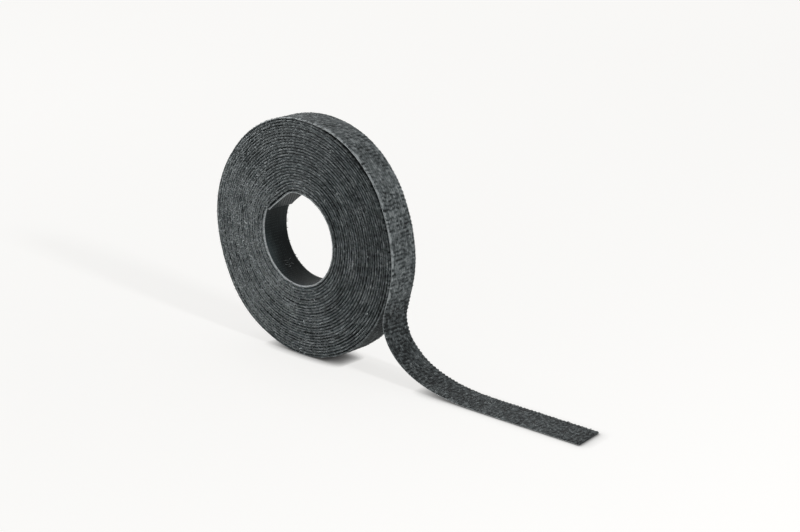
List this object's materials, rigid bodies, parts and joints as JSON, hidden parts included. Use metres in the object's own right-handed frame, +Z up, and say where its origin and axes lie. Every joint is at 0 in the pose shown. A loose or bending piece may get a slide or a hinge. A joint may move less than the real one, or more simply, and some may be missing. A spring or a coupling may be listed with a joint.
{
  "type": "hook and loop tape roll",
  "caption": "Coreless roll of back-to-back hook and loop tape standing on its rim, with a free tail that peels off the roll, winds back on or curls up, and a loose inner end in the bore.",
  "frame": {"origin": "on the floor, in the middle of the level face that the roll stands on, under the roll's axis", "axes": "+Z up, +Y along the roll's axis away from the pictured face, +X the way the tail runs off"},
  "size_m": [0.1701, 0.012, 0.0887],
  "materials": {
    "loop_web": "brushed knitted polyamide loops, charcoal grey",
    "hook_web": "moulded hook film, dark graphite"
  },
  "bodies": {
    "roll": {"wound_loop_web": "loop_web", "wound_hook_web": "hook_web"},
    "peel_1": {"peel_loop_web_1": "loop_web", "peel_hook_web_1": "hook_web"},
    "peel_2": {"peel_loop_web_2": "loop_web", "peel_hook_web_2": "hook_web"},
    "peel_3": {"peel_loop_web_3": "loop_web", "peel_hook_web_3": "hook_web"},
    "peel_4": {"peel_loop_web_4": "loop_web", "peel_hook_web_4": "hook_web"},
    "peel_5": {"peel_loop_web_5": "loop_web", "peel_hook_web_5": "hook_web"},
    "peel_6": {"peel_loop_web_6": "loop_web", "peel_hook_web_6": "hook_web"},
    "tail_1": {"tail_loop_web_1": "loop_web", "tail_hook_web_1": "hook_web"},
    "tail_2": {"tail_loop_web_2": "loop_web", "tail_hook_web_2": "hook_web"},
    "tail_3": {"tail_loop_web_3": "loop_web", "tail_hook_web_3": "hook_web"},
    "tail_4": {"tail_loop_web_4": "loop_web", "tail_hook_web_4": "hook_web"},
    "tail_5": {"tail_loop_web_5": "loop_web", "tail_hook_web_5": "hook_web"},
    "tail_6": {"tail_loop_web_6": "loop_web", "tail_hook_web_6": "hook_web"},
    "tail_7": {"tail_loop_web_7": "loop_web", "tail_hook_web_7": "hook_web"},
    "tail_8": {"tail_loop_web_8": "loop_web", "tail_hook_web_8": "hook_web"},
    "inner_end": {"inner_end_loop_web": "loop_web", "inner_end_hook_web": "hook_web"}
  },
  "joints": [
    {"name": "peel_bend_1", "type": "hinge", "parent": "roll", "child": "peel_1", "pos_m": [0.00635, 0, 0.08833], "axis": [0, -1, 0], "range_deg": [0, 16.3]},
    {"name": "peel_bend_2", "type": "hinge", "parent": "peel_1", "child": "peel_2", "pos_m": [0.0186, 0, 0.08479], "axis": [0, -1, 0], "range_deg": [0, 16.3]},
    {"name": "peel_bend_3", "type": "hinge", "parent": "peel_2", "child": "peel_3", "pos_m": [0.02937, 0, 0.07794], "axis": [0, -1, 0], "range_deg": [0, 16.3]},
    {"name": "peel_bend_4", "type": "hinge", "parent": "peel_3", "child": "peel_4", "pos_m": [0.03778, 0, 0.06832], "axis": [0, -1, 0], "range_deg": [0, 16.3]},
    {"name": "peel_bend_5", "type": "hinge", "parent": "peel_4", "child": "peel_5", "pos_m": [0.04315, 0, 0.0567], "axis": [0, -1, 0], "range_deg": [0, 16.3]},
    {"name": "peel_bend_6", "type": "hinge", "parent": "peel_5", "child": "peel_6", "pos_m": [0.04503, 0, 0.04403], "axis": [0, -1, 0], "range_deg": [0, 16.3]},
    {"name": "tail_bend_1", "type": "hinge", "parent": "peel_6", "child": "tail_1", "pos_m": [0.04326, 0, 0.03133], "axis": [0, -1, 0], "range_deg": [-2.5, 7], "stiffness_Nm_per_rad": 0.0028},
    {"name": "tail_bend_2", "type": "hinge", "parent": "tail_1", "child": "tail_2", "pos_m": [0.04155, 0, 0.0186], "axis": [0, -1, 0], "range_deg": [-71.5, 23.53], "stiffness_Nm_per_rad": 0.0028},
    {"name": "tail_bend_3", "type": "hinge", "parent": "tail_2", "child": "tail_3", "pos_m": [0.0483, 0, 0.00766], "axis": [0, -1, 0], "range_deg": [-47, 21.1], "stiffness_Nm_per_rad": 0.0028},
    {"name": "tail_bend_4", "type": "hinge", "parent": "tail_3", "child": "tail_4", "pos_m": [0.05999, 0, 0.00228], "axis": [0, -1, 0], "range_deg": [-38, 14.28], "stiffness_Nm_per_rad": 0.0028},
    {"name": "tail_bend_5", "type": "hinge", "parent": "tail_4", "child": "tail_5", "pos_m": [0.07278, 0, 0.00065], "axis": [0, -1, 0], "range_deg": [-18.3, 9.55], "stiffness_Nm_per_rad": 0.0028},
    {"name": "tail_bend_6", "type": "hinge", "parent": "tail_5", "child": "tail_6", "pos_m": [0.08567, 0, 0.00037], "axis": [0, -1, 0], "range_deg": [-17, 7.3], "stiffness_Nm_per_rad": 0.0028},
    {"name": "tail_bend_7", "type": "hinge", "parent": "tail_6", "child": "tail_7", "pos_m": [0.09858, 0, 0.00035], "axis": [0, -1, 0], "range_deg": [-13, 6.95], "stiffness_Nm_per_rad": 0.0028},
    {"name": "tail_bend_8", "type": "hinge", "parent": "tail_7", "child": "tail_8", "pos_m": [0.1115, 0, 0.00035], "axis": [0, -1, 0], "range_deg": [-14.3, 6.92], "stiffness_Nm_per_rad": 0.0028},
    {"name": "inner_end_lift", "type": "hinge", "parent": "roll", "child": "inner_end", "pos_m": [-0.00367, 0, 0.06127], "axis": [0, -1, 0], "range_deg": [0, 60], "stiffness_Nm_per_rad": 0.0028}
  ]
}
